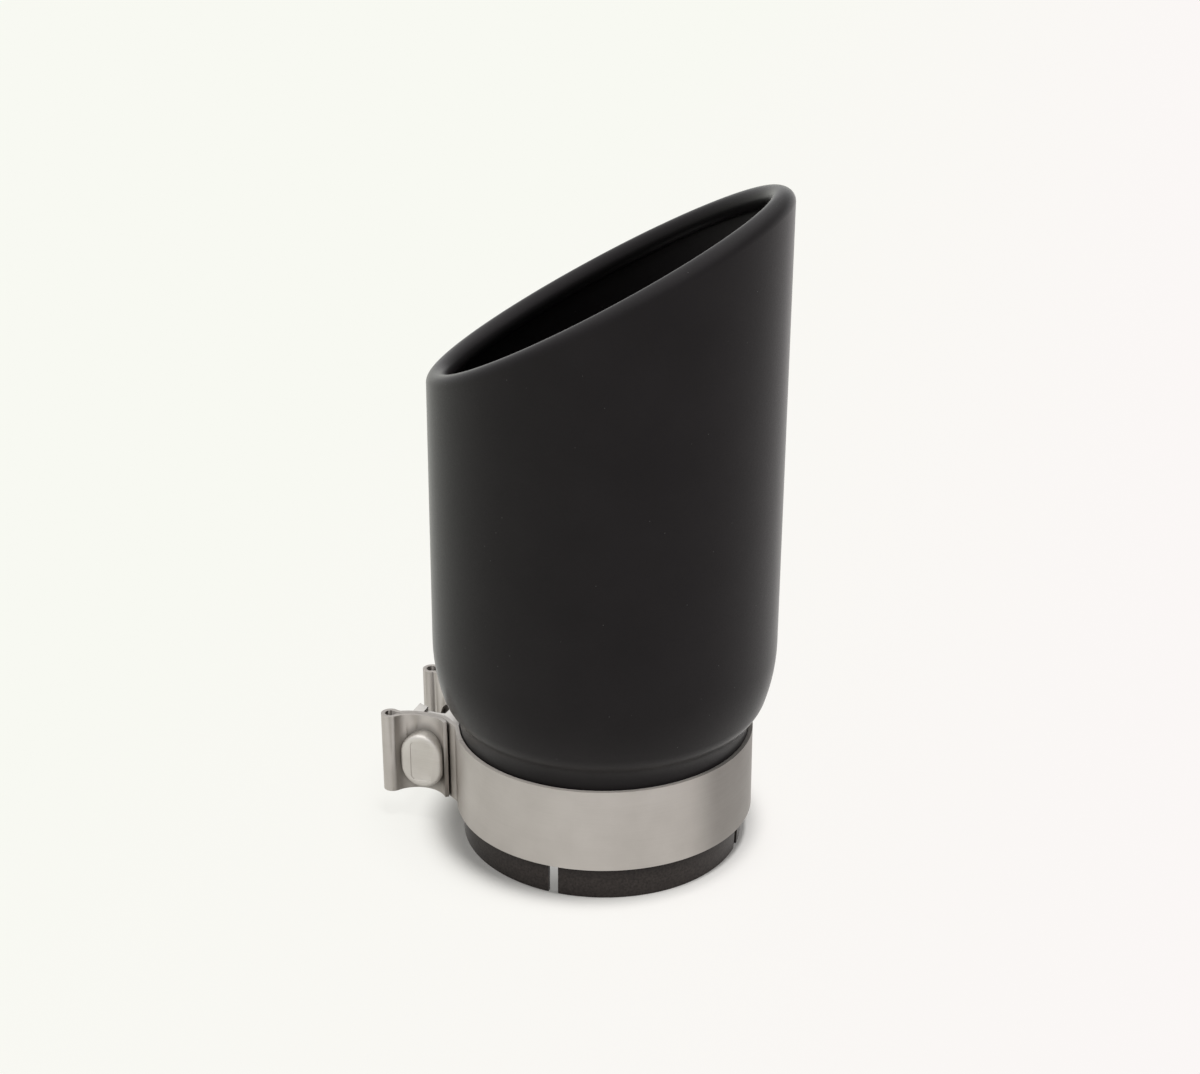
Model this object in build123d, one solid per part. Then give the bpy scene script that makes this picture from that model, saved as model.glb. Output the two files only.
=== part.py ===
import os
from math import acos, atan2, cos, degrees, radians, sin, sqrt
from build123d import *

# Driving dimensions, in millimetres and degrees.
body_od = 127.0
wall = 1.6
slash_angle = 30.0
axis_length = 216.2
lip_roll_r = 4.6
lip_flat = 0.2
hem_depth = 5.5
hollow_roof = 2.6

neck_od = 107.6
shoulder_top = 78.3
shoulder_r = 46.0
crease_r = 4.0
slot_width = 3.7
slot_length = 38.0
slot_count = 4
slot_bearing = -95.8

strap_width = 31.75
strap_thick = 1.5
strap_base = 11.6
clamp_bearing = 175.0
clamp_tilt = 1.1
clamp_tilt_bearing = -46.6
ear_reach = 9.9
ear_spread = 28.6
saddle_r = 11.8
loop_od = 7.0
loop_bearing = -33.5
crimp_r = 2.0
leg_bend_bearing = -127.0
leg_end_bearing = -142.0
root_bend_r = 3.0

bolt_d = 10.0
bolt_hole_d = 15.2
bolt_drop = 1.9
bolt_stickout = 4.0
bolt_tip_chamfer = 1.0
head_wide = 16.8
head_tall = 22.0
head_thick = 5.6
head_chamfer = 0.8
panel_wide = 8.2
panel_tall = 16.0
panel_corner = 2.0
panel_depth = 0.35

block_wide = 24.0
block_waist = 8.6
block_reach = 19.8
block_foot = 4.4
block_end = 3.2
block_tall = 24.3
block_dip = 2.2

washer_thick = 6.1
nut_across = 16.0
nut_thick = 9.0
nut_chamfer = 1.2

# Clearances.
strap_gap = 0.5
fold_gap = 0.2
block_gap = 0.4
block_side_gap = 0.4
block_end_gap = 0.3
pass_gap = 0.5
seat_gap = 0.1
thread_gap = 0.1

# Sizes that follow.
body_r = body_od / 2
neck_r = neck_od / 2
mouth_r = body_r - 2 * lip_roll_r - lip_flat
far_top = axis_length + body_od
strap_mid_r = neck_r + strap_gap + strap_thick / 2
strap_mid_z = strap_base + strap_width / 2
saddle_u = neck_r + strap_gap + strap_thick + ear_reach
saddle_low = ear_spread - saddle_r
ear_outer_r = saddle_r + strap_thick / 2
ear_inner_r = ear_outer_r + strap_thick + fold_gap
bolt_z = strap_mid_z - bolt_drop
washer_face = saddle_low + washer_thick
from_base = (Align.CENTER, Align.CENTER, Align.MIN)


def polar(centre, radius, angle):
    return (centre[0] + radius * cos(radians(angle)), centre[1] + radius * sin(radians(angle)))


def below_slash(solid, depth):
    # The slash plane rises towards +X; depth is measured square to it, down into the tip.
    tilt = radians(slash_angle)
    cut = Plane(
        origin=(0, 0, axis_length - depth / cos(tilt)),
        x_dir=(cos(tilt), 0, sin(tilt)),
        z_dir=(-sin(tilt), 0, cos(tilt)),
    )
    return split(solid, bisect_by=cut, keep=Keep.BOTTOM), cut


def round_slash_edges(solid, cut, radius):
    top = solid.faces().filter_by(cut).sort_by(Axis.Z)[-1]
    return fillet(top.edges(), radius)


def tube_core(inset):
    # What lies within the formed tube's skin: neck, crease, shoulder and body.
    # It is set in by a wall or by nothing.
    shoulder_c = (body_r - shoulder_r, shoulder_top)
    rise = sqrt((shoulder_r + crease_r) ** 2 - (neck_r + crease_r - shoulder_c[0]) ** 2)
    crease_c = (neck_r + crease_r, shoulder_top - rise)
    lean = degrees(atan2(-rise, crease_c[0] - shoulder_c[0]))
    crease = CenterArc(crease_c, crease_r + inset, 180, lean)
    shoulder = CenterArc(shoulder_c, shoulder_r - inset, lean, -lean)
    edges = [
        Line((0, 0), (neck_r - inset, 0)),
        Line((neck_r - inset, 0), crease @ 0),
        crease,
        shoulder,
        Line(shoulder @ 1, (body_r - inset, far_top)),
        Line((body_r - inset, far_top), (0, far_top)),
        Line((0, far_top), (0, 0)),
    ]
    return revolve(Plane.XZ * make_face(edges), axis=Axis.Z)


def make_tip_body():
    blank, cut = below_slash(tube_core(0), 0)
    mouth = Pos(0, 0, shoulder_top) * Cylinder(mouth_r, far_top, align=from_base)
    shell = round_slash_edges(blank - mouth, cut, lip_roll_r)
    cavity, _ = below_slash(tube_core(wall), hem_depth)
    # The hollow in the rolled lip, between the wall and the turned-down hem.
    ring = Cylinder(body_r - wall, far_top, align=from_base)
    ring = ring - Cylinder(mouth_r + wall, far_top, align=from_base)
    hollow, _ = below_slash(Pos(0, 0, shoulder_top) * ring, hollow_roof)
    shell = shell - cavity - hollow
    sketch = Pos(-slot_length / 2, 0) * Rectangle(slot_length, slot_width)
    sketch += Pos(-slot_length + slot_width / 2, 0) * Circle(slot_width / 2)
    slot = Pos(neck_r, 0, 0) * Rot(0, 90, 0) * extrude(sketch, amount=4 * wall, both=True)
    for k in range(slot_count):
        shell = shell - Rot(0, 0, slot_bearing + k * 360 / slot_count) * slot
    return shell


def strap_side(offset):
    # One long edge of the bent strip, from the back of the ring to the free end of the outer leg.
    saddle = (saddle_u, ear_spread)
    loop_r = (loop_od - strap_thick) / 2
    loop_far = ear_outer_r + loop_r
    loop_c = polar(saddle, loop_far, loop_bearing)
    # The crimp bends back from the inner leg into the loop, tangent to both.
    crimp_far = ear_inner_r + crimp_r
    swing = acos((crimp_far**2 + loop_far**2 - (crimp_r + loop_r) ** 2) / (2 * crimp_far * loop_far))
    pinch = loop_bearing - degrees(swing)
    crimp_c = polar(saddle, crimp_far, pinch)
    leave = degrees(atan2(loop_c[1] - crimp_c[1], loop_c[0] - crimp_c[0]))
    bent = leg_bend_bearing
    # The root bend is tangent to the ring and to the straight run up to the saddle.
    leg_root = polar(saddle, ear_inner_r, bent)
    start = polar(leg_root, -root_bend_r, bent)
    run = polar((0, 0), 1, bent + 90)
    along = start[0] * run[0] + start[1] * run[1]
    reach = strap_mid_r + root_bend_r
    back = along - sqrt(along**2 - start[0] ** 2 - start[1] ** 2 + reach**2)
    bend_c = (start[0] - back * run[0], start[1] - back * run[1])
    ring_end = degrees(atan2(bend_c[1], bend_c[0]))
    return [
        CenterArc((0, 0), strap_mid_r + offset, 180, ring_end - 180),
        CenterArc(bend_c, root_bend_r - offset, ring_end - 180, bent - ring_end + 180),
        Line(polar(bend_c, root_bend_r - offset, bent), polar(saddle, ear_inner_r - offset, bent)),
        CenterArc(saddle, ear_inner_r - offset, bent, pinch - bent),
        CenterArc(crimp_c, crimp_r + offset, pinch + 180, leave - pinch - 180),
        CenterArc(loop_c, loop_r - offset, leave - 180, loop_bearing + 360 - leave),
        CenterArc(saddle, ear_outer_r + offset, loop_bearing, leg_end_bearing - loop_bearing),
    ]


def make_clamp_strap():
    front = strap_side(strap_thick / 2)
    rear = strap_side(-strap_thick / 2)
    half = front + rear + [Line(front[-1] @ 1, rear[-1] @ 1)]
    outline = half + [mirror(edge, about=Plane.XZ) for edge in half]
    strip = extrude(make_face(outline), amount=strap_width)
    hole = Pos(saddle_u, 0, bolt_z) * Rot(90, 0, 0) * Cylinder(bolt_hole_d / 2, 2 * body_od)
    return Pos(0, 0, strap_base) * strip - hole


def make_reaction_block():
    # A bar slid along the bolt to the head's ear. Its sides follow that ear's inner leg,
    # its foot follows the neck, and its waist is lower than its foot and its outer end.
    foot_r = neck_r + block_gap
    side_r = ear_inner_r + strap_thick / 2 + block_side_gap
    centre = ear_spread - side_r - block_waist / 2
    bar = Pos((foot_r + block_reach) / 2, 0) * Rectangle(foot_r + block_reach, block_wide)
    saddle = (saddle_u, ear_spread - centre)
    root = polar(saddle, side_r, leg_bend_bearing)
    run_side = Rectangle(2 * side_r, 2 * side_r, align=(Align.MAX, Align.MAX))
    bite = Pos(*saddle) * Circle(side_r) + Pos(*root) * Rot(0, 0, leg_bend_bearing) * run_side
    profile = bar - bite - mirror(bite, about=Plane.XZ)
    waist = extrude(profile, amount=block_tall / 2 - block_dip, both=True)
    end = extrude(profile, amount=block_tall / 2, both=True)
    end = end & Pos(foot_r + block_reach, 0, 0) * Box(2 * block_end, block_wide, block_tall)
    foot_tall = strap_width - 2 * block_end_gap
    foot = extrude(profile, amount=foot_tall / 2, both=True)
    foot = foot & Box(2 * (foot_r + block_foot), 2 * block_wide, foot_tall)
    hole = Pos(saddle_u, 0, -bolt_drop) * Rot(90, 0, 0) * Cylinder(bolt_d / 2 + pass_gap, 2 * block_wide)
    block = Pos(0, centre, strap_mid_z) * (waist + end + foot - hole)
    return block - Cylinder(foot_r, body_od)


def saddle_pad(face_plane, reach):
    # An oval pad whose back fits the curve of an ear; the plane looks away from the ear.
    pad = extrude(face_plane * SlotOverall(head_tall, head_wide), amount=-reach)
    side = 1 if face_plane.z_dir.Y > 0 else -1
    return pad & (Pos(saddle_u, side * ear_spread, bolt_z) * Cylinder(saddle_r - seat_gap, 2 * head_tall))


def make_clamp_bolt():
    face = saddle_low + head_thick
    face_plane = Plane(origin=(saddle_u, face, bolt_z), x_dir=(0, 0, 1), z_dir=(0, 1, 0))
    head = saddle_pad(face_plane, face)
    head = chamfer(head.faces().sort_by(Axis.Y)[-1].edges(), head_chamfer)
    panel = face_plane * RectangleRounded(panel_tall, panel_wide, panel_corner)
    head = head - extrude(panel, amount=-panel_depth)
    start = saddle_low + head_thick / 2
    length = start + washer_face + nut_thick + bolt_stickout
    shank = Cylinder(bolt_d / 2, length, align=from_base)
    shank = chamfer(shank.edges().sort_by(Axis.Z)[-1], bolt_tip_chamfer)
    return head + Pos(saddle_u, start, bolt_z) * Rot(90, 0, 0) * shank


def make_saddle_washer():
    face_plane = Plane(origin=(saddle_u, -washer_face, bolt_z), x_dir=(0, 0, 1), z_dir=(0, -1, 0))
    pad = saddle_pad(face_plane, washer_face)
    return pad - Pos(saddle_u, 0, bolt_z) * Rot(90, 0, 0) * Cylinder(bolt_d / 2 + pass_gap, body_od)


def make_clamp_nut():
    prism = extrude(RegularPolygon(nut_across / 2, 6, major_radius=False), amount=nut_thick)
    drum = Cylinder(nut_across / sqrt(3), nut_thick, align=from_base)
    drum = chamfer(drum.edges().filter_by(GeomType.CIRCLE), nut_chamfer / 2, nut_chamfer)
    nut = prism & drum
    nut = nut - Cylinder(bolt_d / 2 + thread_gap, 3 * nut_thick)
    return Pos(saddle_u, -washer_face, bolt_z) * Rot(90, 0, 0) * nut


# The clamp sits round the neck a little askew, raised towards one bearing.
askew = Rot(0, 0, clamp_tilt_bearing) * Rot(0, -clamp_tilt, 0) * Rot(0, 0, -clamp_tilt_bearing)
turned = Pos(0, 0, strap_mid_z) * askew * Pos(0, 0, -strap_mid_z) * Rot(0, 0, clamp_bearing)
pieces = {
    "tip_body": make_tip_body(),
    "clamp_strap": turned * make_clamp_strap(),
    "reaction_block": turned * make_reaction_block(),
    "clamp_bolt": turned * make_clamp_bolt(),
    "saddle_washer": turned * make_saddle_washer(),
    "clamp_nut": turned * make_clamp_nut(),
}

os.makedirs("parts", exist_ok=True)
for name, piece in pieces.items():
    solid = piece.solids()[0] if len(piece.solids()) == 1 else piece
    solid.label = name
    export_step(solid, "parts/" + name + ".step")
    state = "valid" if piece.is_valid else "bad"
    print(name, len(piece.solids()), "solid", round(piece.volume, 1), "mm3", state)
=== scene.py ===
import math
import bpy
import bmesh
from mathutils import Matrix, Vector


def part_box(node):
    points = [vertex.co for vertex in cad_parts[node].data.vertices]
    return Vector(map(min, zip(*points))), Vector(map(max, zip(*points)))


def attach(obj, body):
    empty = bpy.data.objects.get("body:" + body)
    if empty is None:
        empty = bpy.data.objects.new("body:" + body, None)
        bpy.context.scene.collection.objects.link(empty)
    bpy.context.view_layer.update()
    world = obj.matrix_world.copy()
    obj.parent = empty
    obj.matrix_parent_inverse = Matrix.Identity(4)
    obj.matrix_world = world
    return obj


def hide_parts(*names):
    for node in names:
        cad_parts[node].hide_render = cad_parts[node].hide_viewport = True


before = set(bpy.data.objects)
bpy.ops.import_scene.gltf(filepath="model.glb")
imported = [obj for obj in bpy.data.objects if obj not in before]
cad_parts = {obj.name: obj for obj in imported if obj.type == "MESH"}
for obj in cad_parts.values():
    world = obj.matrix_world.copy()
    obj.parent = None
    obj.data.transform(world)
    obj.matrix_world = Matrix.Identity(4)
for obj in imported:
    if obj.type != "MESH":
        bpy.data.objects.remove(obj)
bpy.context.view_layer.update()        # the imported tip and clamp, fixed in place
scene = bpy.context.scene
print("frame loaded:", ", ".join(sorted(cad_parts)))

# shapes are in millimetres and degrees, and a piece shrinks to metres when it is finished;
# finishes, camera and stage are in metres
metresPerMm = 0.001
weldWithin = 0.0005       # points nearer than this are one
weldAfterCut = 0.002
throughAll = 200.0        # a cutter of this length passes through the whole clamp
levelNormal = 0.9         # a face is level where its normal rises or falls by more than this


# meshing helpers

def pickVerts(geom):
    return [part for part in geom if isinstance(part, bmesh.types.BMVert)]


def pickEdges(geom):
    return [part for part in geom if isinstance(part, bmesh.types.BMEdge)]


def wholeMesh(bm):
    return bm.verts[:] + bm.edges[:] + bm.faces[:]


def pullVert(bm, vert, step, steps=1):
    for k in range(steps):
        made = bmesh.ops.extrude_vert_indiv(bm, verts=[vert])["verts"]
        bmesh.ops.translate(bm, vec=Vector(step) / steps, verts=made)
        vert = made[0]
    return vert


def swingVert(bm, vert, centre, axis, degrees, steps):
    turn = math.radians(degrees)
    swept = bmesh.ops.spin(bm, geom=[vert], cent=centre, axis=axis, angle=turn, steps=steps)
    return pickVerts(swept["geom_last"])[0]


def spinRound(bm, steps):
    outline = bm.verts[:] + bm.edges[:]
    bmesh.ops.spin(bm, geom=outline, cent=(0, 0, 0), axis=(0, 0, 1), angle=math.tau, steps=steps,
                   use_merge=True)
    bmesh.ops.remove_doubles(bm, verts=bm.verts[:], dist=weldWithin)
    bmesh.ops.recalc_face_normals(bm, faces=bm.faces[:])


def roundEdges(bm, edges, width, segments):
    bmesh.ops.bevel(bm, geom=edges, offset=width, offset_type="OFFSET", segments=segments, profile=0.5,
                    affect="EDGES", clamp_overlap=True, material=-1)


def easeSharp(bm, width, segments, overDegrees):
    limit = math.radians(overDegrees)
    sharp = [edge for edge in bm.edges if edge.is_manifold and edge.calc_face_angle(0.0) > limit]
    roundEdges(bm, sharp, width, segments)


def sliceOff(bm, spot, way):
    # what lies past the plane goes, and the cut is closed
    cut = bmesh.ops.bisect_plane(bm, geom=wholeMesh(bm), plane_co=spot, plane_no=way, clear_outer=True)
    bmesh.ops.edgeloop_fill(bm, edges=pickEdges(cut["geom_cut"]))


def thicken(bm, depth):
    made = bmesh.ops.extrude_face_region(bm, geom=bm.faces[:])["geom"]
    bmesh.ops.translate(bm, vec=(0, 0, depth), verts=pickVerts(made))
    bmesh.ops.recalc_face_normals(bm, faces=bm.faces[:])


def looseObject(name, bm):
    mesh = bpy.data.meshes.new(name)
    bm.to_mesh(mesh)
    bm.free()
    loose = bpy.data.objects.new(name, mesh)
    scene.collection.objects.link(loose)
    return loose


def cutAway(bm, cutters, keepInside=False):
    # every cutter is a bmesh of its own; the piece comes back without them, or only what lies inside
    work = looseObject("work", bm)
    tools = [looseObject("tool", cutter) for cutter in cutters]
    for tool in tools:
        cut = work.modifiers.new("cut", "BOOLEAN")
        cut.operation = "INTERSECT" if keepInside else "DIFFERENCE"
        cut.solver = "EXACT"
        cut.object = tool
    ready = work.evaluated_get(bpy.context.evaluated_depsgraph_get())
    mesh = bpy.data.meshes.new_from_object(ready)
    left = bmesh.new()
    left.from_mesh(mesh)
    bpy.data.meshes.remove(mesh)
    for loose in [work] + tools:
        bpy.data.meshes.remove(loose.data)
    bmesh.ops.remove_doubles(left, verts=left.verts[:], dist=weldAfterCut)
    return left


def rod(centre, axis, radius, length=throughAll, segments=64):
    bm = bmesh.new()
    turn = Vector((0, 0, 1)).rotation_difference(Vector(axis)).to_matrix().to_4x4()
    bmesh.ops.create_cone(bm, cap_ends=True, segments=segments, radius1=radius, radius2=radius,
                          depth=length, matrix=Matrix.Translation(centre) @ turn)
    return bm


def roundedPlate(wide, tall, corner, depth, segments=64):
    # a plate with round corners, flat on XY from 0 up to its depth
    bm = bmesh.new()
    bmesh.ops.create_circle(bm, cap_ends=True, segments=segments, radius=corner)
    turn = Matrix.Rotation(math.pi / segments, 3, "Z")
    bmesh.ops.rotate(bm, cent=(0, 0, 0), matrix=turn, verts=bm.verts[:])
    for vert in bm.verts:
        vert.co.x += math.copysign(wide / 2 - corner, vert.co.x)
        vert.co.y += math.copysign(tall / 2 - corner, vert.co.y)
    bmesh.ops.remove_doubles(bm, verts=bm.verts[:], dist=weldWithin)
    thicken(bm, depth)
    return bm


def putIn(bm, other):
    mesh = bpy.data.meshes.new("other")
    other.to_mesh(mesh)
    other.free()
    bm.from_mesh(mesh)
    bpy.data.meshes.remove(mesh)


def addPiece(name, bm, node, material, smoothUnder):
    bmesh.ops.scale(bm, vec=(metresPerMm, metresPerMm, metresPerMm), verts=bm.verts[:])
    piece = looseObject(name, bm)
    piece.data.shade_smooth()
    piece.data.set_sharp_from_angle(angle=math.radians(smoothUnder))
    piece.data.materials.append(material)
    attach(piece, "root")
    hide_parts(node)
    low = [round(min(vert.co[k] for vert in piece.data.vertices) / metresPerMm, 2) for k in range(3)]
    high = [round(max(vert.co[k] for vert in piece.data.vertices) / metresPerMm, 2) for k in range(3)]
    print(name, "has", len(piece.data.polygons), "faces from", low, "to", high)
    return piece


# node helpers: each gives back the socket that carries its result

def newMaterial(name, metallic, ior):
    material = bpy.data.materials.new(name)
    material.use_nodes = True
    tree = material.node_tree
    shader = tree.nodes["Principled BSDF"]
    shader.inputs["Metallic"].default_value = metallic
    shader.inputs["IOR"].default_value = ior
    return material, tree, shader


def noiseNode(tree, scale, detail, stretch=(1, 1, 1)):
    place = tree.nodes.new("ShaderNodeTexCoord")
    mapping = tree.nodes.new("ShaderNodeMapping")
    mapping.inputs["Scale"].default_value = stretch
    noise = tree.nodes.new("ShaderNodeTexNoise")
    noise.inputs["Scale"].default_value = scale
    noise.inputs["Detail"].default_value = detail
    tree.links.new(place.outputs["Object"], mapping.inputs["Vector"])
    tree.links.new(mapping.outputs["Vector"], noise.inputs["Vector"])
    return noise.outputs["Fac"]


def rampNode(tree, source, spots, colours):
    ramp = tree.nodes.new("ShaderNodeValToRGB")
    for element, spot, colour in zip(ramp.color_ramp.elements, spots, colours):
        element.position = spot
        element.color = (*colour, 1)
    tree.links.new(source, ramp.inputs["Fac"])
    return ramp.outputs["Color"]


def rangeNode(tree, source, fromRange, toRange, kind="LINEAR"):
    spread = tree.nodes.new("ShaderNodeMapRange")
    spread.interpolation_type = kind
    spread.inputs["From Min"].default_value, spread.inputs["From Max"].default_value = fromRange
    spread.inputs["To Min"].default_value, spread.inputs["To Max"].default_value = toRange
    tree.links.new(source, spread.inputs["Value"])
    return spread.outputs["Result"]


def smoothRange(tree, source, fromRange, toRange):
    return rangeNode(tree, source, fromRange, toRange, "SMOOTHSTEP")


def mathNode(tree, operation, *values):
    # each value is a socket or a number
    node = tree.nodes.new("ShaderNodeMath")
    node.operation = operation
    for socket, value in zip(node.inputs, values):
        if isinstance(value, (int, float)):
            socket.default_value = value
        else:
            tree.links.new(value, socket)
    return node.outputs["Value"]


def vectorNode(tree, operation, source, other=None):
    node = tree.nodes.new("ShaderNodeVectorMath")
    node.operation = operation
    tree.links.new(source, node.inputs[0])
    if other:
        node.inputs[1].default_value = other
    return node.outputs["Value"]


def splitNode(tree, source):
    # the three sockets X, Y and Z of a vector
    node = tree.nodes.new("ShaderNodeSeparateXYZ")
    tree.links.new(source, node.inputs["Vector"])
    return node.outputs


def mixNode(tree, share, first, second):
    # the second colour is three numbers; a Mix node's colours are its inputs 6 and 7 and its output 2
    mix = tree.nodes.new("ShaderNodeMix")
    mix.data_type = "RGBA"
    tree.links.new(share, mix.inputs["Factor"])
    tree.links.new(first, mix.inputs[6])
    mix.inputs[7].default_value = (*second, 1)
    return mix.outputs[2]


def bumpNode(tree, source, depth, strength, under=None):
    bump = tree.nodes.new("ShaderNodeBump")
    bump.inputs["Distance"].default_value = depth
    bump.inputs["Strength"].default_value = strength
    tree.links.new(source, bump.inputs["Height"])
    if under:
        tree.links.new(under, bump.inputs["Normal"])
    return bump.outputs["Normal"]


# finishes; a noise is given by its scale and detail

noiseSpan = (0.3, 0.7)            # most of a noise lies between these
coating = {
    "ior": 1.26,
    "glossTint": (1.0, 0.93, 0.96),
    "filmWeight": 0.8,            # a thin smoother film, which shows along the edges
    "filmRoughness": 0.22,
    "filmIor": 1.12,
    "cloud": (45.0, 3.0),
    "dark": (0.0050, 0.0044, 0.0046),
    "light": (0.0080, 0.0071, 0.0074),
    "roughness": (0.50, 0.62),
    "grain": (3200.0, 2.0),
    "grainDepth": 0.00003,
    "grainStrength": 0.55,
    "peel": (700.0, 2.0),
    "peelDepth": 0.00005,
    "peelStrength": 0.45,
    "speckScale": 420.0,
    "speckSize": 0.08,
    "speckShare": 0.06,
    "speckColour": (0.05, 0.049, 0.048),
    "footPatchBelow": (0.006, 0.015),
    "footPatchNoise": (1100.0, 4.0),
    "footPatchColour": (0.080, 0.067, 0.060),
}


def powderCoat(name):
    material, tree, shader = newMaterial(name, metallic=0.0, ior=coating["ior"])
    shader.inputs["Specular Tint"].default_value = (*coating["glossTint"], 1)
    shader.inputs["Coat Weight"].default_value = coating["filmWeight"]
    shader.inputs["Coat Roughness"].default_value = coating["filmRoughness"]
    shader.inputs["Coat IOR"].default_value = coating["filmIor"]
    cloud = noiseNode(tree, *coating["cloud"])
    grain = noiseNode(tree, *coating["grain"])
    peel = noiseNode(tree, *coating["peel"])
    tone = rampNode(tree, cloud, noiseSpan, (coating["dark"], coating["light"]))
    # light dust specks: the middles of a few cells
    place = tree.nodes.new("ShaderNodeTexCoord").outputs["Object"]
    cells = tree.nodes.new("ShaderNodeTexVoronoi")
    cells.inputs["Scale"].default_value = coating["speckScale"]
    tree.links.new(place, cells.inputs["Vector"])
    pick = tree.nodes.new("ShaderNodeSeparateColor")
    tree.links.new(cells.outputs["Color"], pick.inputs["Color"])
    inside = mathNode(tree, "LESS_THAN", cells.outputs["Distance"], coating["speckSize"])
    chosen = mathNode(tree, "LESS_THAN", pick.outputs["Red"], coating["speckShare"])
    tone = mixNode(tree, mathNode(tree, "MULTIPLY", inside, chosen), tone, coating["speckColour"])
    # the foot of the neck is mixed towards a lighter, browner tone in noisy patches
    foot = smoothRange(tree, splitNode(tree, place)["Z"], coating["footPatchBelow"], (1.0, 0.0))
    patches = noiseNode(tree, *coating["footPatchNoise"])
    tone = mixNode(tree, mathNode(tree, "MULTIPLY", foot, patches), tone, coating["footPatchColour"])
    tree.links.new(tone, shader.inputs["Base Color"])
    rough = rangeNode(tree, grain, noiseSpan, coating["roughness"])
    tree.links.new(rough, shader.inputs["Roughness"])
    waves = bumpNode(tree, peel, coating["peelDepth"], coating["peelStrength"])
    bumps = bumpNode(tree, grain, coating["grainDepth"], coating["grainStrength"], waves)
    tree.links.new(bumps, shader.inputs["Normal"])
    return material


steels = {
    "strap": {
        "dark": (0.498, 0.467, 0.434),
        "light": (0.555, 0.522, 0.488),
        "roughness": (0.46, 0.54),
        "lines": 0.35,
    },
    "block": {
        "dark": (0.58, 0.56, 0.53),
        "light": (0.70, 0.68, 0.65),
        "roughness": (0.50, 0.62),
        "lines": 0.1,
    },
    "bolt": {
        "dark": (0.56, 0.53, 0.495),
        "light": (0.66, 0.635, 0.60),
        "roughness": (0.46, 0.60),
        "lines": 0.0,
    },
}
steelGrain = {
    "cloud": (60.0, 4.0),
    "line": (55.0, 5.0),
    "lineStretch": (1, 1, 60),
    "pit": (1500.0, 3.0),
    "depth": 0.00002,
    "pitStrength": 0.35,
}
# the strip's grain and sheared edges, and painted shade on one side and round the bolt's head
stripFinishAndShade = {
    "drawn": 0.9,
    "drawnTurn": 0.25,
    "edgeFacing": (0.3, 0.8),
    "edgeRoughness": 0.9,
    "edgeWithin": 150.0,              # the ears keep their finish
    # painted shade: how far one side of the strap is darkened
    "paintedShadeShare": 0.34,
    "paintedShadeFrom": (-44.0, -27.0),       # bearings round the neck where the painted shade comes and goes
    "paintedShadeTo": (-4.0, 26.0),
    "contactShadeShare": 0.5,                # painted shade: a dark rim on the saddle round the bolt's head, standing in for the contact shadow there
    "contactShadeSpread": (1.0, 1.42),
    "contactShadePlace": (-0.0669, -0.0112, 0.0248),
    "contactShadeTurn": 175.0,
    "contactShadeSize": (0.0084, 0.02, 0.011),
}


def finishAndShadeStrip(tree, shader, colour, rough):
    # rolled strip: the grain runs round the neck, so gloss spreads up and down; painted shade darkens one
    # side and the saddle round the bolt's head
    shader.inputs["Anisotropic"].default_value = stripFinishAndShade["drawn"]
    shader.inputs["Anisotropic Rotation"].default_value = stripFinishAndShade["drawnTurn"]
    along = tree.nodes.new("ShaderNodeTangent")
    along.direction_type = "RADIAL"
    along.axis = "Z"
    tree.links.new(along.outputs["Tangent"], shader.inputs["Tangent"])
    place = tree.nodes.new("ShaderNodeTexCoord")
    spot = splitNode(tree, place.outputs["Object"])
    bearing = mathNode(tree, "DEGREES", mathNode(tree, "ARCTAN2", spot["Y"], spot["X"]))
    # the sheared edges are rough round the neck
    facing = mathNode(tree, "ABSOLUTE", splitNode(tree, place.outputs["Normal"])["Z"])
    edge = smoothRange(tree, facing, stripFinishAndShade["edgeFacing"], (0.0, 1.0))
    ring = mathNode(tree, "LESS_THAN", mathNode(tree, "ABSOLUTE", bearing), stripFinishAndShade["edgeWithin"])
    rest = mathNode(tree, "SUBTRACT", stripFinishAndShade["edgeRoughness"], rough)
    rough = mathNode(tree, "MULTIPLY_ADD", rest, mathNode(tree, "MULTIPLY", edge, ring), rough)
    # painted shade: one side of the strap is darkened, standing in for a darker reflection there
    come = smoothRange(tree, bearing, stripFinishAndShade["paintedShadeFrom"], (0.0, 1.0))
    gone = smoothRange(tree, bearing, stripFinishAndShade["paintedShadeTo"], (stripFinishAndShade["paintedShadeShare"], 0.0))
    paintedSideShade = mathNode(tree, "MULTIPLY", come, gone)
    # painted shade: the saddle is darkened where the head meets it, standing in for its contact shadow
    oval = tree.nodes.new("ShaderNodeMapping")
    oval.vector_type = "TEXTURE"
    oval.inputs["Location"].default_value = stripFinishAndShade["contactShadePlace"]
    oval.inputs["Rotation"].default_value = (0, 0, math.radians(stripFinishAndShade["contactShadeTurn"]))
    oval.inputs["Scale"].default_value = stripFinishAndShade["contactShadeSize"]
    tree.links.new(place.outputs["Object"], oval.inputs["Vector"])
    apart = vectorNode(tree, "LENGTH", oval.outputs["Vector"])
    rim = smoothRange(tree, apart, stripFinishAndShade["contactShadeSpread"], (stripFinishAndShade["contactShadeShare"], 0.0))
    # both painted shades darken the strap's colour towards black
    colour = mixNode(tree, mathNode(tree, "MAXIMUM", paintedSideShade, rim), colour, (0, 0, 0))
    return colour, rough


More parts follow.
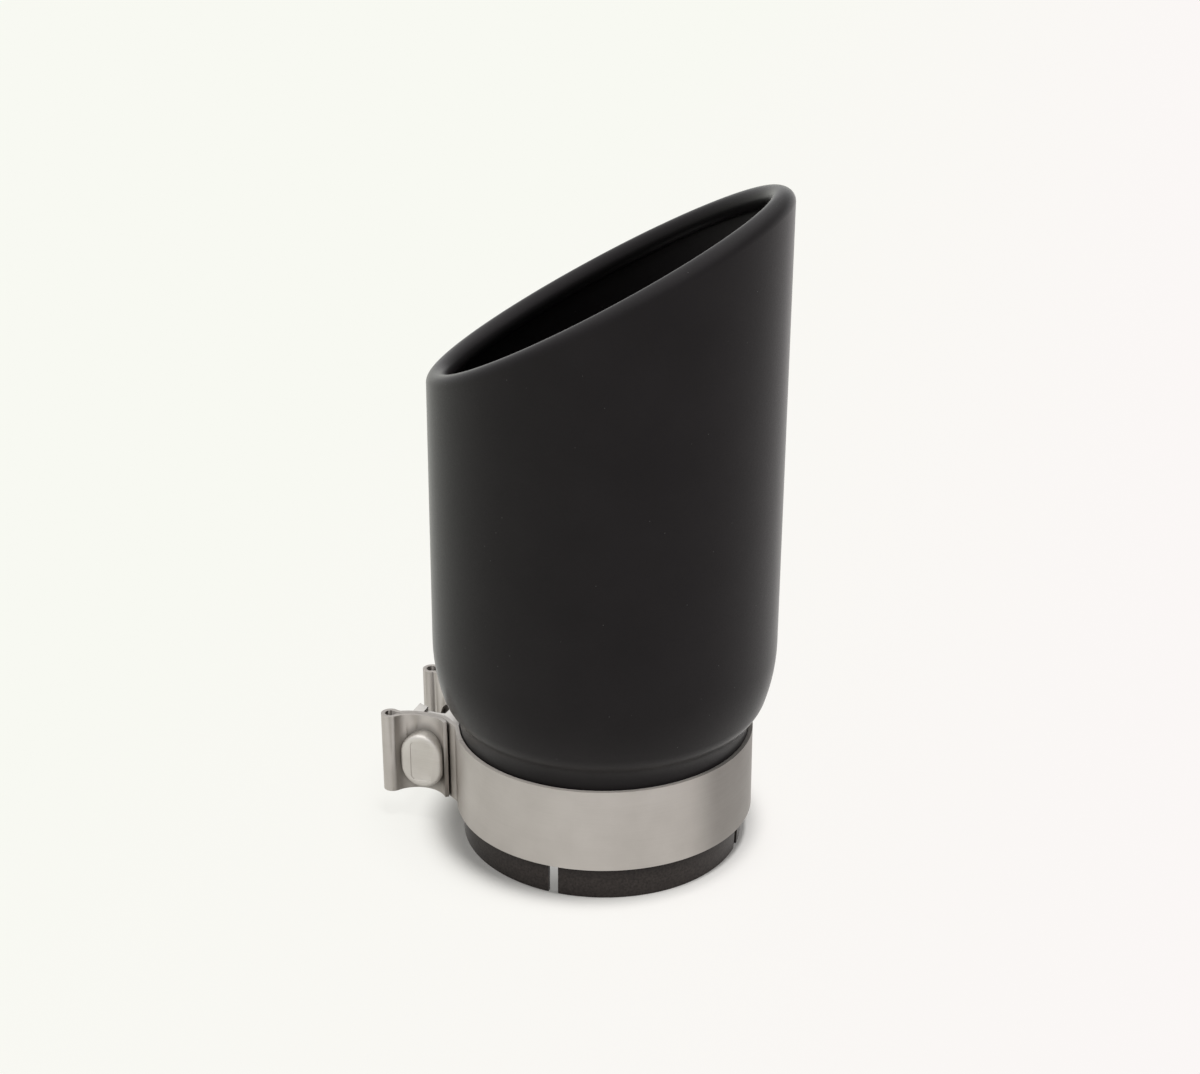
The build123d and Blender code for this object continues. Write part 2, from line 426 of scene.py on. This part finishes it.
def satinSteel(name, kind):
    finish = steels[kind]
    material, tree, shader = newMaterial(name, metallic=1.0, ior=1.5)
    cloud = noiseNode(tree, *steelGrain["cloud"])
    lines = noiseNode(tree, *steelGrain["line"], steelGrain["lineStretch"])
    pits = noiseNode(tree, *steelGrain["pit"])
    colour = rampNode(tree, cloud, noiseSpan, (finish["dark"], finish["light"]))
    rough = rangeNode(tree, lines, noiseSpan, finish["roughness"])
    grain = bumpNode(tree, pits, steelGrain["depth"], steelGrain["pitStrength"])
    if finish["lines"]:
        grain = bumpNode(tree, lines, steelGrain["depth"], finish["lines"], grain)
    if kind == "strap":
        colour, rough = finishAndShadeStrip(tree, shader, colour, rough)
    tree.links.new(colour, shader.inputs["Base Color"])
    tree.links.new(rough, shader.inputs["Roughness"])
    tree.links.new(grain, shader.inputs["Normal"])
    return material


coatedBlack = powderCoat("coatedBlack")
strapSteel = satinSteel("strapSteel", "strap")
blockSteel = satinSteel("blockSteel", "block")
boltSteel = satinSteel("boltSteel", "bolt")
print("finishes ready")


# the tip: one formed tube, slash cut, with its mouth rolled inwards

tipLow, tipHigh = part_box("tip_body")
tip = {
    "bodyRadius": (tipHigh[0] - tipLow[0]) / 2 / metresPerMm,
    "neckRadius": 54.0,
    "shoulderTop": 80.0,
    "shoulderRadius": 70.0,
    "shoulderTurn": 17.0,
    "cornerRadius": 15.0,
    "cornerTurn": 40.0,
    "wall": 1.6,
    "slashAngle": 30.0,
    "axisLength": 216.2,
    "lipInset": 4.6,          # the lip hangs on a line this far inside the wall
    "lipCorner": 4.0,         # its section: a corner, a flatter top and a tight curl
    "lipCornerTurn": 60.0,
    "lipTop": 5.5,
    "lipTopTurn": 82.0,
    "lipCurl": 4.0,
    "lipTurn": 264.0,
    "slotWidth": 3.7,
    "slotLength": 38.0,
    "slotBearing": -95.8,
    "slotCount": 4,
    "slotSteps": 32,
    "drawIn": 1.3,
    "drawInSkew": 0.5,
    "drawInBearing": 13.8,
    "edgeEase": 0.25,
    "easeSteps": 2,
    "easeOver": 50,
    "smoothUnder": 40,
    "around": 256,
}
tipRows = {                   # how finely each stretch of the outline is divided
    "neck": 16,
    "crease": 10,
    "corner": 12,
    "shoulder": 6,
    "wall": 12,
    "lipCorner": 10,
    "lipTop": 6,
    "lipCurl": 24,
}


def tilted(degrees):
    # outwards along X, turned down
    return Vector((math.cos(math.radians(degrees)), 0, -math.sin(math.radians(degrees))))


# the lip starts to roll where its highest point will touch the slash
lipRise = tip["lipCurl"] - (tip["lipCorner"] - tip["lipTop"]) * tilted(tip["lipCornerTurn"]).z
lipRise -= (tip["lipTop"] - tip["lipCurl"]) * tilted(tip["lipTopTurn"]).z
rollHeight = tip["axisLength"] - lipRise / math.cos(math.radians(tip["slashAngle"]))


def tipProfile(bm):
    # up the outside: neck, crease, corner, shoulder, wall, then over the lip and down its inside
    shoulder = Vector((tip["bodyRadius"] - tip["shoulderRadius"], 0, tip["shoulderTop"]))
    corner = shoulder + (tip["shoulderRadius"] - tip["cornerRadius"]) * tilted(tip["shoulderTurn"])
    cornerEnd = corner + tip["cornerRadius"] * tilted(tip["cornerTurn"])
    creaseRadius = (cornerEnd.x - tip["neckRadius"]) / (1 - math.cos(math.radians(tip["cornerTurn"])))
    crease = cornerEnd + creaseRadius * tilted(tip["cornerTurn"])
    lipCorner = Vector((tip["bodyRadius"] - tip["lipCorner"], 0, rollHeight))
    lipTop = lipCorner + (tip["lipCorner"] - tip["lipTop"]) * tilted(-tip["lipCornerTurn"])
    lipCurl = lipTop + (tip["lipTop"] - tip["lipCurl"]) * tilted(-tip["lipTopTurn"])
    bends = [
        ("corner", corner, tip["cornerTurn"] - tip["shoulderTurn"]),
        ("shoulder", shoulder, tip["shoulderTurn"]),
    ]
    lipBends = [
        ("lipCorner", lipCorner, tip["lipCornerTurn"]),
        ("lipTop", lipTop, tip["lipTopTurn"] - tip["lipCornerTurn"]),
        ("lipCurl", lipCurl, tip["lipTurn"] - tip["lipTopTurn"]),
    ]
    across = (0, -1, 0)
    vert = bm.verts.new((tip["neckRadius"], 0, 0))
    vert = pullVert(bm, vert, (0, 0, crease.z), tipRows["neck"])
    vert = swingVert(bm, vert, crease, across, -tip["cornerTurn"], tipRows["crease"])
    for stretch, centre, turn in bends:
        vert = swingVert(bm, vert, centre, across, turn, tipRows[stretch])
    vert = pullVert(bm, vert, (0, 0, rollHeight - tip["shoulderTop"]), tipRows["wall"])
    for stretch, centre, turn in lipBends:
        vert = swingVert(bm, vert, centre, across, turn, tipRows[stretch])


def slashMouth(bm):
    # the square-cut mouth is raised to the slash; the lip keeps its section, square to its roll
    slope = math.tan(math.radians(tip["slashAngle"]))
    rollRadius = tip["bodyRadius"] - tip["lipInset"]
    for vert in bm.verts:
        bearing = math.atan2(vert.co.y, vert.co.x)
        out = math.hypot(vert.co.x, vert.co.y) - rollRadius
        up = vert.co.z - rollHeight
        lift = rollRadius * slope * math.cos(bearing)
        inHem = out < tip["lipInset"] - 2 * tip["wall"] and up > -2 * tip["lipInset"]
        if up > -weldWithin or inHem:
            radial = Vector((math.cos(bearing), math.sin(bearing), 0))
            square = Vector((-slope * radial.y ** 2, slope * radial.x * radial.y, 1)).normalized()
            vert.co = (rollRadius + out) * radial + Vector((0, 0, rollHeight + lift)) + up * square
        elif vert.co.z > tip["shoulderTop"]:
            share = (vert.co.z - tip["shoulderTop"]) / (rollHeight - tip["shoulderTop"])
            vert.co.z += share * lift


def drawInNeck(bm):
    # the slotted neck is squeezed a little, more to one side
    for vert in bm.verts:
        if vert.co.z < tip["slotLength"]:
            swing = math.atan2(vert.co.y, vert.co.x) - math.radians(tip["drawInBearing"])
            squeeze = (tip["drawIn"] + tip["drawInSkew"] * math.cos(swing)) * math.cos(swing) ** 2
            squeeze *= 1 - max(vert.co.z, 0) / tip["slotLength"]
            radius = math.hypot(vert.co.x, vert.co.y)
            vert.co.x *= (radius - squeeze) / radius
            vert.co.y *= (radius - squeeze) / radius


def slotCutter(bearing):
    # a rounded bar through the neck's wall, open at the foot
    deep = 6 * tip["wall"]
    long = 2 * tip["slotLength"]
    bm = roundedPlate(long, tip["slotWidth"], tip["slotWidth"] / 2, deep, tip["slotSteps"])
    stand = Matrix.Rotation(math.radians(90), 3, "Y")
    turn = Matrix.Rotation(math.radians(bearing), 3, "Z")
    bmesh.ops.rotate(bm, cent=(0, 0, 0), matrix=stand, verts=bm.verts[:])
    bmesh.ops.translate(bm, vec=(tip["neckRadius"] - deep / 2, 0, 0), verts=bm.verts[:])
    bmesh.ops.rotate(bm, cent=(0, 0, 0), matrix=turn, verts=bm.verts[:])
    return bm


def tipShell():
    bm = bmesh.new()
    tipProfile(bm)
    spinRound(bm, tip["around"])
    bmesh.ops.solidify(bm, geom=bm.faces[:], thickness=tip["wall"])
    slashMouth(bm)
    bearings = [tip["slotBearing"] + k * 360 / tip["slotCount"] for k in range(tip["slotCount"])]
    bm = cutAway(bm, [slotCutter(bearing) for bearing in bearings])
    drawInNeck(bm)
    piece = addPiece("tipShell", bm, "tip_body", coatedBlack, tip["smoothUnder"])
    ease = piece.modifiers.new("ease", "BEVEL")
    ease.width = tip["edgeEase"] * metresPerMm
    ease.segments = tip["easeSteps"]
    ease.limit_method = "ANGLE"
    ease.angle_limit = math.radians(tip["easeOver"])
    ease.harden_normals = True


tipShell()


# the clamp: made with its bolt across +X, then hung round the neck

clamp = {"bearing": 175.0, "tilt": 1.1, "tiltBearing": -46.6, "middle": 27.475}
ear = {
    "saddleOut": 65.7,
    "saddleSide": 28.6,
    "saddleRadius": 11.8,
    "saddleAround": 160,
    "boltDrop": 1.9,
    "seatGap": 0.1,
}
saddleLow = ear["saddleSide"] - ear["saddleRadius"]
boltPlace = Vector((ear["saddleOut"], 0, clamp["middle"] - ear["boltDrop"]))
boltWay = (0, 1, 0)


def hangClamp(bm):
    middle = Matrix.Translation((0, 0, clamp["middle"]))
    turn = Matrix.Rotation(math.radians(clamp["tiltBearing"]), 4, "Z")
    lean = Matrix.Rotation(math.radians(-clamp["tilt"]), 4, "Y")
    face = Matrix.Rotation(math.radians(clamp["bearing"]), 4, "Z")
    place = middle @ turn @ lean @ turn.inverted() @ middle.inverted() @ face
    bmesh.ops.transform(bm, matrix=place, verts=bm.verts[:])


strap = {
    "width": 31.75,
    "thick": 1.5,
    "ringRadius": 55.05,
    "bends": [
        (55.05, -155.261),    # round the neck from the back
        (3.0, 28.261),        # root of the ear
        (7.772, 0),           # straight run
        (14.25, 76.527),      # inner leg of the saddle
        (2.0, -70.104),       # crimp
        (2.75, 267.078),      # loop
        (12.55, -108.5),      # outer leg of the saddle
    ],
    "stepTurn": 3.0,          # degrees in one step of a bend, fewer on a bend wider than this radius
    "wideBend": 20.0,
    "leastSteps": 6,
    "holeRadius": 7.6,
    "edgeEase": 0.2,
    "easeSteps": 4,
    "easeOver": 60,
    "smoothUnder": 40,
    "earDip": 0.9,            # the upper edge sinks a little where the bolt pulls an ear in
    "earDipFrom": 57.0,
    "earDipTo": 76.0,
}


def bentStrip(bm, start, heading, bends):
    # each bend is a radius and a turn to the left; a run has no turn, and its length comes first
    vert = bm.verts.new(start)
    heading = Vector(heading)
    for size, turn in bends:
        if turn == 0:
            vert = pullVert(bm, vert, heading * size)
            continue
        left = Vector((-heading.y, heading.x, 0))
        centre = vert.co + left * math.copysign(size, turn)
        finer = max(1, size / strap["wideBend"])
        steps = max(strap["leastSteps"], round(abs(turn) * finer / strap["stepTurn"]))
        vert = swingVert(bm, vert, centre, (0, 0, 1), turn, steps)
        heading.rotate(Matrix.Rotation(math.radians(turn), 3, "Z"))


def dipEars(bm):
    span = strap["earDipTo"] - strap["earDipFrom"]
    for vert in bm.verts:
        along = (vert.co.x - strap["earDipFrom"]) / span
        if 0 < along < 1:
            height = max(0, (vert.co.z - clamp["middle"]) / (strap["width"] / 2))
            vert.co.z -= strap["earDip"] * height * math.sin(math.pi * along)


def clampStrap():
    bm = bmesh.new()
    bentStrip(bm, (-strap["ringRadius"], 0, 0), (0, 1, 0), strap["bends"])
    half = bm.verts[:] + bm.edges[:]
    bmesh.ops.mirror(bm, geom=half, matrix=Matrix.Identity(4), merge_dist=weldWithin, axis="Y")
    bmesh.ops.translate(bm, vec=(0, 0, clamp["middle"] - strap["width"] / 2), verts=bm.verts[:])
    rise = bmesh.ops.extrude_edge_only(bm, edges=bm.edges[:])["geom"]
    bmesh.ops.translate(bm, vec=(0, 0, strap["width"]), verts=pickVerts(rise))
    bmesh.ops.recalc_face_normals(bm, faces=bm.faces[:])
    # half the thickness to each side of the bent line
    for vert in bm.verts:
        vert.normal_update()
    shift = {vert: vert.normal * strap["thick"] / 2 for vert in bm.verts}
    for vert, step in shift.items():
        vert.co += step
    bmesh.ops.solidify(bm, geom=bm.faces[:], thickness=strap["thick"])
    bm = cutAway(bm, [rod(boltPlace, boltWay, strap["holeRadius"])])
    easeSharp(bm, strap["edgeEase"], strap["easeSteps"], strap["easeOver"])
    dipEars(bm)
    hangClamp(bm)
    addPiece("clampStrap", bm, "clamp_strap", strapSteel, strap["smoothUnder"])


clampStrap()


block = {
    "wide": 24.0,
    "outerEnd": 74.0,
    "sideOffset": 8.9,
    "sideRadius": 15.4,
    "sideSteps": 24,
    "runBearing": -127.0,
    "footDepth": 12.0,        # cut off again where the foot meets the neck
    "footEnd": 58.6,
    "waistEnd": 69.8,
    "waistTall": 21.0,
    "endTall": 24.3,
    "footTall": 31.15,
    "neckClear": 54.2,
    "neckAround": 256,
    "holeRadius": 5.5,
    "edgeEase": 0.5,
    "easeSteps": 3,
    "easeOver": 40,
    "smoothUnder": 40,
}


def blockOutline(bm):
    # one side runs from under the strap down the ear's run, then round its inner leg to the outer end
    saddle = Vector((ear["saddleOut"], ear["saddleSide"] - block["sideOffset"], 0))
    bearing = math.radians(block["runBearing"])
    runEnd = saddle + block["sideRadius"] * Vector((math.cos(bearing), math.sin(bearing), 0))
    runBack = (block["wide"] / 2 - runEnd.y) / math.cos(bearing)
    runStart = runEnd + runBack * Vector((-math.sin(bearing), math.cos(bearing), 0))
    endBearing = -math.acos((block["outerEnd"] - saddle.x) / block["sideRadius"])
    vert = bm.verts.new((block["neckClear"] - block["footDepth"], block["wide"] / 2, 0))
    vert = pullVert(bm, vert, runStart - vert.co)
    vert = pullVert(bm, vert, runEnd - vert.co)
    swingVert(bm, vert, saddle, (0, 0, 1), math.degrees(endBearing - bearing), block["sideSteps"])
    half = bm.verts[:] + bm.edges[:]
    bmesh.ops.mirror(bm, geom=half, matrix=Matrix.Identity(4), merge_dist=-1, axis="Y")
    ends = [vert for vert in bm.verts if len(vert.link_edges) == 1]
    for low in (True, False):
        bm.edges.new([vert for vert in ends if (vert.co.x < saddle.x) == low])
    bmesh.ops.contextual_create(bm, geom=bm.edges[:])


def raiseEnds(bm):
    # the foot and the outer end are taller than the waist
    foot = (0, block["footEnd"], block["footTall"])
    end = (block["waistEnd"], block["outerEnd"], block["endTall"])
    for low, high, tall in (foot, end):
        for way in (1, -1):
            level = [face for face in bm.faces if face.normal.z * way > levelNormal]
            top = [face for face in level if low < face.calc_center_median().x < high]
            made = bmesh.ops.extrude_face_region(bm, geom=top)["geom"]
            bmesh.ops.delete(bm, geom=top, context="FACES_ONLY")
            step = (0, 0, way * (tall - block["waistTall"]) / 2)
            bmesh.ops.translate(bm, vec=step, verts=pickVerts(made))
    bmesh.ops.recalc_face_normals(bm, faces=bm.faces[:])


def reactionBlock():
    bm = bmesh.new()
    blockOutline(bm)
    for along in (block["footEnd"], block["waistEnd"]):
        bmesh.ops.bisect_plane(bm, geom=wholeMesh(bm), plane_co=(along, 0, 0), plane_no=(1, 0, 0))
    bmesh.ops.translate(bm, vec=(0, 0, -block["waistTall"] / 2), verts=bm.verts[:])
    thicken(bm, block["waistTall"])
    raiseEnds(bm)
    bmesh.ops.translate(bm, vec=(0, block["sideOffset"], clamp["middle"]), verts=bm.verts[:])
    neck = rod((0, 0, clamp["middle"]), (0, 0, 1), block["neckClear"], segments=block["neckAround"])
    bm = cutAway(bm, [neck, rod(boltPlace, boltWay, block["holeRadius"])])
    easeSharp(bm, block["edgeEase"], block["easeSteps"], block["easeOver"])
    hangClamp(bm)
    addPiece("reactionBlock", bm, "reaction_block", blockSteel, block["smoothUnder"])


bolt = {
    "headWide": 16.8,
    "headTall": 22.0,
    "headThick": 5.6,
    "headRound": 1.5,
    "roundSteps": 4,
    "panelWide": 8.2,
    "panelTall": 16.0,
    "panelCorner": 2.0,
    "panelDepth": 0.35,
    "panelSteps": 48,
    "panelEaseSteps": 2,
    "panelEaseOver": 35,
    "radius": 5.0,
    "pitch": 1.5,
    "threadDepth": 0.81,
    "rootShare": 0.25,        # of the pitch; two flanks and a crest make up the rest
    "flankShare": 0.3125,
    "crestShare": 0.125,
    "threadSteps": 48,
    "threadStart": -6.0,
    "tip": -35.9,
    "tipChamfer": 1.0,
    "smoothUnder": 32,
}
washer = {"thick": 6.1, "boreRadius": 5.5, "round": 0.5, "smoothUnder": 32}
nut = {
    "across": 16.0,
    "sides": 6,
    "thick": 9.0,
    "chamfer": 1.2,
    "boreRadius": 5.1,
    "around": 96,
    "smoothUnder": 25,
}


def layOnBolt(bm, along, degrees=90):
    # from standing on XY to lying along the bolt
    turn = Matrix.Rotation(math.radians(degrees), 4, "X")
    place = Matrix.Translation((boltPlace.x, along, boltPlace.z))
    bmesh.ops.transform(bm, matrix=place @ turn, verts=bm.verts[:])


def ovalPad(side, thick, edgeRound, panel=None):
    # the head's oval, with a back that fits an ear's curve; side 1 is the head's ear, -1 the nut's
    bm = roundedPlate(bolt["headWide"], bolt["headTall"], bolt["headWide"] / 2, 2 * thick)
    rim = [edge for edge in bm.edges if all(abs(vert.co.z) < weldWithin for vert in edge.verts)]
    roundEdges(bm, rim, edgeRound, bolt["roundSteps"])
    if panel:
        bm = cutAway(bm, [panel])
        easeSharp(bm, bolt["panelDepth"] / 2, bolt["panelEaseSteps"], bolt["panelEaseOver"])
    layOnBolt(bm, side * (saddleLow + thick), side * 90)
    centre = (boltPlace.x, side * ear["saddleSide"], boltPlace.z)
    seatRadius = ear["saddleRadius"] - ear["seatGap"]
    curve = rod(centre, (0, 0, 1), seatRadius, segments=ear["saddleAround"])
    return cutAway(bm, [curve], keepInside=True)


def threadedEnd():
    # the thread's outline runs along the bolt and is spun up one pitch in a full turn, so its rows meet;
    # it starts two pitches early, runs past the tip and is then cut to length
    bm = bmesh.new()
    length = bolt["threadStart"] - bolt["tip"]
    pitch = bolt["pitch"]
    depth = bolt["threadDepth"]
    flank = bolt["flankShare"] * pitch
    vert = bm.verts.new((bolt["radius"] - depth, 0, -2 * pitch))
    for k in range(math.ceil(length / pitch) + 3):
        vert = pullVert(bm, vert, (0, 0, bolt["rootShare"] * pitch))
        vert = pullVert(bm, vert, (depth, 0, flank))
        vert = pullVert(bm, vert, (0, 0, bolt["crestShare"] * pitch))
        vert = pullVert(bm, vert, (-depth, 0, flank))
    outline = bm.verts[:] + bm.edges[:]
    climb = (0, 0, pitch / bolt["threadSteps"])
    bmesh.ops.spin(bm, geom=outline, cent=(0, 0, 0), axis=(0, 0, 1), dvec=climb, angle=math.tau,
                   steps=bolt["threadSteps"])
    bmesh.ops.remove_doubles(bm, verts=bm.verts[:], dist=weldWithin)
    sliceOff(bm, (0, 0, 0), (0, 0, -1))
    sliceOff(bm, (0, 0, length), (0, 0, 1))
    for vert in bm.verts:
        radius = vert.co.xy.length
        limit = bolt["radius"] - bolt["tipChamfer"] + length - vert.co.z
        if radius > limit:
            vert.co.xy *= limit / radius
    bmesh.ops.recalc_face_normals(bm, faces=bm.faces[:])
    layOnBolt(bm, bolt["threadStart"])
    return bm


def clampBolt():
    proud = 1.0               # the panel's cutter starts this far outside the head
    panel = roundedPlate(bolt["panelWide"], bolt["panelTall"], bolt["panelCorner"],
                         bolt["panelDepth"] + proud, bolt["panelSteps"])
    bmesh.ops.translate(panel, vec=(0, 0, -proud), verts=panel.verts[:])
    bm = ovalPad(1, bolt["headThick"], bolt["headRound"], panel)
    top = saddleLow + bolt["headThick"] / 2
    centre = (boltPlace.x, (top + bolt["threadStart"]) / 2, boltPlace.z)
    putIn(bm, rod(centre, boltWay, bolt["radius"], top - bolt["threadStart"]))
    putIn(bm, threadedEnd())
    hangClamp(bm)
    addPiece("clampBolt", bm, "clamp_bolt", boltSteel, bolt["smoothUnder"])


def saddleWasher():
    bm = ovalPad(-1, washer["thick"], washer["round"])
    bm = cutAway(bm, [rod(boltPlace, boltWay, washer["boreRadius"])])
    hangClamp(bm)
    addPiece("saddleWasher", bm, "saddle_washer", blockSteel, washer["smoothUnder"])


def clampNut():
    # a chamfered ring is spun, then its flats are cut
    bm = bmesh.new()
    corner = nut["across"] / 2 / math.cos(math.pi / nut["sides"])
    first = bm.verts.new((nut["boreRadius"], 0, 0))
    vert = pullVert(bm, first, (corner - nut["chamfer"] - nut["boreRadius"], 0, 0))
    vert = pullVert(bm, vert, (nut["chamfer"], 0, nut["chamfer"] / 2))
    vert = pullVert(bm, vert, (0, 0, nut["thick"] - nut["chamfer"]))
    vert = pullVert(bm, vert, (-nut["chamfer"], 0, nut["chamfer"] / 2))
    vert = pullVert(bm, vert, (nut["boreRadius"] - vert.co.x, 0, 0))
    bm.edges.new((vert, first))
    spinRound(bm, nut["around"])
    for k in range(nut["sides"]):
        bearing = math.tau * (k + 0.5) / nut["sides"]
        way = Vector((math.cos(bearing), math.sin(bearing), 0))
        sliceOff(bm, way * nut["across"] / 2, way)
    bmesh.ops.recalc_face_normals(bm, faces=bm.faces[:])
    layOnBolt(bm, -(saddleLow + washer["thick"]))
    hangClamp(bm)
    addPiece("clampNut", bm, "clamp_nut", boltSteel, nut["smoothUnder"])


reactionBlock()
clampBolt()
saddleWasher()
clampNut()


# camera, floor and light

cameraSetup = {
    "place": (0.1783, -0.7330, 0.4503),
    "azimuth": 13.83,
    "down": 23.74,
    "roll": 0.4186,
    "lens": 68.305,
    "sensor": 36.0,
}


def addCamera():
    data = bpy.data.cameras.new("viewCamera")
    data.lens = cameraSetup["lens"]
    data.sensor_width = cameraSetup["sensor"]
    camera = bpy.data.objects.new("viewCamera", data)
    scene.collection.objects.link(camera)
    turn = Matrix.Rotation(math.radians(cameraSetup["azimuth"]), 4, "Z")
    tilt = Matrix.Rotation(math.radians(90 - cameraSetup["down"]), 4, "X")
    roll = Matrix.Rotation(math.radians(cameraSetup["roll"]), 4, "Z")
    camera.matrix_world = Matrix.Translation(cameraSetup["place"]) @ turn @ tilt @ roll
    scene.camera = camera


studio = {
    "keyLevel": 0.76,          # the key lamp's and the dome's shares of the floor's light
    "keyAngle": 13.0,
    "keyLean": 8.0,
    "keyBearing": -30.0,
    "dome": 0.24,
    "backdrop": 0.9,           # the pale room that shows in reflections, with its ceiling and dark side
    "ceiling": 2.2,
    "ceilingSpread": (0.35, 1.0),
    "darkSide": 0.45,          # share of the light that is left there
    "darkBearing": 45.0,
    "darkSpread": (0.35, 0.85),
    "darkRise": (0.10, 0.32),
}


def addKey():
    lean = math.radians(studio["keyLean"])
    lamp = bpy.data.lights.new("key", "SUN")
    lamp.energy = studio["keyLevel"] * math.pi / math.cos(lean)
    lamp.angle = math.radians(studio["keyAngle"])
    light = bpy.data.objects.new("key", lamp)
    scene.collection.objects.link(light)
    turn = Matrix.Rotation(math.radians(studio["keyBearing"]), 4, "Z")
    light.matrix_world = turn @ Matrix.Rotation(lean, 4, "Y")
    light.visible_glossy = False     # its gloss comes from the overhead part of the room


def seenDirectly(tree, inPictures=1.0, inGloss=1.0):
    # how much of a glow shows straight to the camera or through glass, and how much in gloss
    rays = tree.nodes.new("ShaderNodeLightPath")
    plain = mathNode(tree, "MAXIMUM", rays.outputs["Is Camera Ray"], rays.outputs["Is Transmission Ray"])
    plain = mathNode(tree, "MULTIPLY", plain, inPictures)
    gloss = mathNode(tree, "MULTIPLY", rays.outputs["Is Glossy Ray"], inGloss)
    return mathNode(tree, "MAXIMUM", plain, gloss)


def addDome():
    world = bpy.data.worlds.new("studio")
    scene.world = world
    world.use_nodes = True
    tree = world.node_tree
    back = tree.nodes["Background"]
    back.inputs["Color"].default_value = (1, 1, 1, 1)
    place = tree.nodes.new("ShaderNodeTexCoord").outputs["Generated"]
    bearing = math.radians(studio["darkBearing"])
    across = vectorNode(tree, "DOT_PRODUCT", place, (math.cos(bearing), math.sin(bearing), 0))
    height = splitNode(tree, place)["Z"]
    side = smoothRange(tree, across, studio["darkSpread"], (0.0, 1.0))
    rise = smoothRange(tree, height, studio["darkRise"], (0.0, 1.0))
    shade = mathNode(tree, "MULTIPLY", side, rise)
    dim = rangeNode(tree, shade, (0.0, 1.0), (1.0, studio["darkSide"]))
    bright = smoothRange(tree, height, studio["ceilingSpread"], (studio["backdrop"], studio["ceiling"]))
    glow = mathNode(tree, "MULTIPLY", dim, bright)
    level = tree.nodes.new("ShaderNodeMix")
    level.inputs["A"].default_value = studio["dome"]
    tree.links.new(seenDirectly(tree), level.inputs["Factor"])
    tree.links.new(glow, level.inputs["B"])
    tree.links.new(level.outputs["Result"], back.inputs["Strength"])


stage = {
    "size": 40.0,
    "left": (0.939, 0.947, 0.888),
    "right": (0.965, 0.930, 0.922),
    "reach": 0.25,
    "roughness": 0.9,
    "lift": (0.12, 0.88),            # share of the ground that shows unshaded, by the neck and farther out
    "liftSpread": (0.055, 0.073),
    "glossLift": 0.3,
}


def addFloor():
    bm = bmesh.new()
    bmesh.ops.create_grid(bm, x_segments=1, y_segments=1, size=stage["size"])
    floor = looseObject("floor", bm)
    material, tree, shader = newMaterial("paleFloor", metallic=0.0, ior=1.5)
    shader.inputs["Roughness"].default_value = stage["roughness"]
    shader.inputs["Specular IOR Level"].default_value = 0.0
    place = tree.nodes.new("ShaderNodeTexCoord").outputs["Object"]
    across = rangeNode(tree, splitNode(tree, place)["X"], (-stage["reach"], stage["reach"]), (0.0, 1.0))
    tone = rampNode(tree, across, (0.0, 1.0), (stage["left"], stage["right"]))
    tree.links.new(tone, shader.inputs["Base Color"])
    # part of the pale ground shows in pictures and reflections as it is; the rest keeps the shadow
    glow = tree.nodes.new("ShaderNodeEmission")
    tree.links.new(tone, glow.inputs["Color"])
    lift = smoothRange(tree, vectorNode(tree, "LENGTH", place), stage["liftSpread"], stage["lift"])
    mix = tree.nodes.new("ShaderNodeMixShader")
    tree.links.new(seenDirectly(tree, lift, stage["glossLift"]), mix.inputs["Fac"])
    tree.links.new(shader.outputs["BSDF"], mix.inputs[1])
    tree.links.new(glow.outputs["Emission"], mix.inputs[2])
    tree.links.new(mix.outputs["Shader"], tree.nodes["Material Output"].inputs["Surface"])
    floor.data.materials.append(material)


addCamera()
addFloor()
addKey()
addDome()
scene.view_settings.view_transform = "Standard"
print("camera, floor and light placed")
